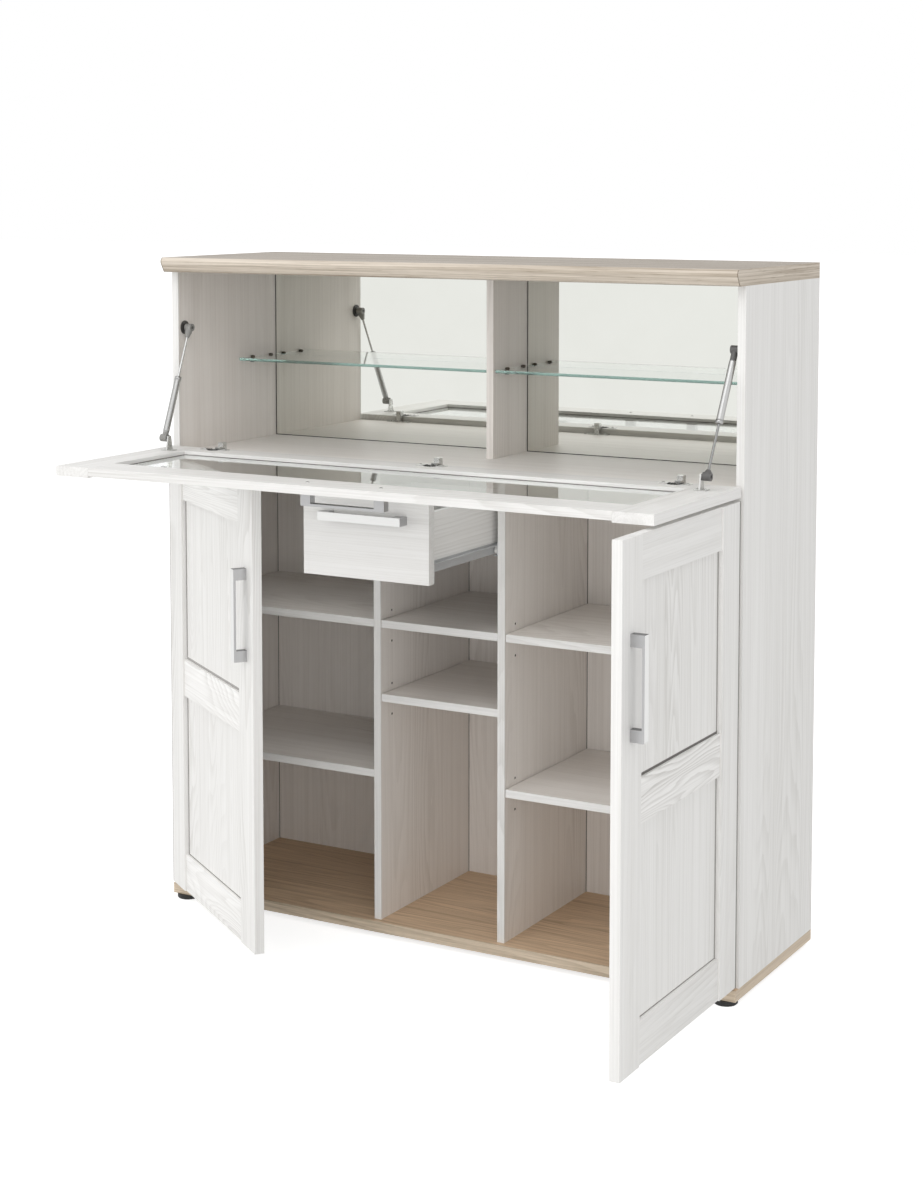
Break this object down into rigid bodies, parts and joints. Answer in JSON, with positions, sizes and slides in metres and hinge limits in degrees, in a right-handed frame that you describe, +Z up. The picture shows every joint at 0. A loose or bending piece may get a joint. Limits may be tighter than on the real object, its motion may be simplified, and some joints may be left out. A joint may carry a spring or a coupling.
{
  "type": "bar cabinet",
  "caption": "Tall cabinet with a mirrored bar behind a fold-out glazed flap on stays, framed side doors, and an open middle column with shelves and a roller drawer.",
  "frame": {"origin": "floor level under the middle of the carcass, at the bottom of the centre glide", "axes": "+Z up, -Y towards the person in front, +X to that person's right"},
  "size_m": [1.3336, 0.9005, 1.39],
  "materials": {
    "oak": "oak decor laminate, satin",
    "white_pine": "whitewashed pine decor laminate, matt",
    "back_board": "coated hardboard",
    "mirror": "silvered glass",
    "clear_glass": "clear float glass",
    "satin_metal": "satin nickel look",
    "hinge_steel": "nickel plated steel",
    "stay_grey": "grey painted tube",
    "runner_grey": "powder coated steel",
    "white_plastic": "nylon",
    "dark_plastic": "black moulded glide"
  },
  "bodies": {
    "carcass": {"top_board": "oak", "base_board": "oak", "feet": "dark_plastic", "left_shelves": "white_pine", "middle_shelves": "white_pine", "right_shelves": "white_pine", "shelf_pins": "hinge_steel", "glass_shelves": "clear_glass", "mirrors": "mirror", "glass_shelf_pins": "hinge_steel", "side_left": "white_pine", "side_right": "white_pine", "back_panel": "back_board", "bar_floor": "white_pine", "bar_divider": "white_pine", "divider_left": "white_pine", "divider_right": "white_pine", "door_hinge_arms": "hinge_steel", "flap_hinge_arms": "hinge_steel", "cabinet_runners": "runner_grey", "stay_side_studs": "dark_plastic"},
    "right_door": {"right_door_hinge_cups": "hinge_steel", "right_door_panels": "white_pine", "right_door_hinge_stile": "white_pine", "right_door_handle_stile": "white_pine", "right_door_bottom_rail": "white_pine", "right_door_middle_rail": "white_pine", "right_door_top_rail": "white_pine", "right_door_handle": "satin_metal"},
    "left_door": {"left_door_hinge_cups": "hinge_steel", "left_door_panels": "white_pine", "left_door_hinge_stile": "white_pine", "left_door_handle_stile": "white_pine", "left_door_bottom_rail": "white_pine", "left_door_middle_rail": "white_pine", "left_door_top_rail": "white_pine", "left_door_handle": "satin_metal"},
    "flap": {"flap_hinge_cups": "hinge_steel", "flap_hinge_rail": "white_pine", "flap_front_rail": "white_pine", "flap_left_stile": "white_pine", "flap_right_stile": "white_pine", "flap_glass": "clear_glass", "flap_handle": "satin_metal", "flap_stay_brackets": "hinge_steel"},
    "drawer": {"drawer_front": "white_pine", "drawer_left_side": "white_pine", "drawer_right_side": "white_pine", "drawer_back": "white_pine", "drawer_bottom": "back_board", "drawer_handle": "satin_metal", "drawer_runners": "runner_grey"},
    "front_rollers": {"front_rollers": "white_plastic"},
    "rear_rollers": {"rear_rollers": "white_plastic"},
    "left_stay_upper": {"left_stay_rod": "hinge_steel"},
    "left_stay_lower": {"left_stay_cylinder": "stay_grey"},
    "right_stay_upper": {"right_stay_cylinder": "stay_grey"},
    "right_stay_lower": {"right_stay_rod": "hinge_steel"}
  },
  "joints": [
    {"name": "right_door_hinge", "type": "hinge", "parent": "carcass", "child": "right_door", "pos_m": [0.6435, -0.2075, 0.499], "axis": [0, 0, 1], "range_deg": [-90, 5]},
    {"name": "left_door_hinge", "type": "hinge", "parent": "carcass", "child": "left_door", "pos_m": [-0.6435, -0.2075, 0.499], "axis": [0, 0, -1], "range_deg": [-35, 60]},
    {"name": "flap_hinge", "type": "hinge", "parent": "carcass", "child": "flap", "pos_m": [0, -0.207, 0.975], "axis": [1, 0, 0], "range_deg": [-90, 0]},
    {"name": "drawer_slide", "type": "slide", "parent": "carcass", "child": "drawer", "axis": [0, -1, 0], "range_m": [-0.252, 0.033]},
    {"name": "front_roller_spin", "type": "hinge", "parent": "carcass", "child": "front_rollers", "pos_m": [0, -0.18, 0.8235], "axis": [1, 0, 0], "range_deg": [-1640, 240]},
    {"name": "rear_roller_spin", "type": "hinge", "parent": "drawer", "child": "rear_rollers", "pos_m": [0, -0.114, 0.8235], "axis": [1, 0, 0], "range_deg": [-1640, 240]},
    {"name": "left_stay_turn", "type": "hinge", "parent": "carcass", "child": "left_stay_upper", "pos_m": [-0.626, -0.1708, 1.239], "axis": [1, 0, 0], "range_deg": [-0.5, 25.69]},
    {"name": "left_stay_slide", "type": "slide", "parent": "left_stay_upper", "child": "left_stay_lower", "axis": [-0.0402, 0.417, 0.908], "range_m": [-0.001, 0.0533]},
    {"name": "right_stay_turn", "type": "hinge", "parent": "carcass", "child": "right_stay_upper", "pos_m": [0.626, -0.1708, 1.239], "axis": [1, 0, 0], "range_deg": [-0.5, 25.69]},
    {"name": "right_stay_slide", "type": "slide", "parent": "right_stay_upper", "child": "right_stay_lower", "axis": [0.0402, 0.417, 0.908], "range_m": [-0.001, 0.0533]}
  ],
  "couplings": [
    {"joint": "front_roller_spin", "follows": "drawer_slide", "rad_per_m": 111.11},
    {"joint": "rear_roller_spin", "follows": "drawer_slide", "rad_per_m": 111.11},
    {"joint": "left_stay_turn", "follows": "flap_hinge", "ratio": -0.27993},
    {"joint": "left_stay_slide", "follows": "flap_hinge", "m_per_rad": -0.033315},
    {"joint": "right_stay_turn", "follows": "flap_hinge", "ratio": -0.27993},
    {"joint": "right_stay_slide", "follows": "flap_hinge", "m_per_rad": -0.033315}
  ]
}
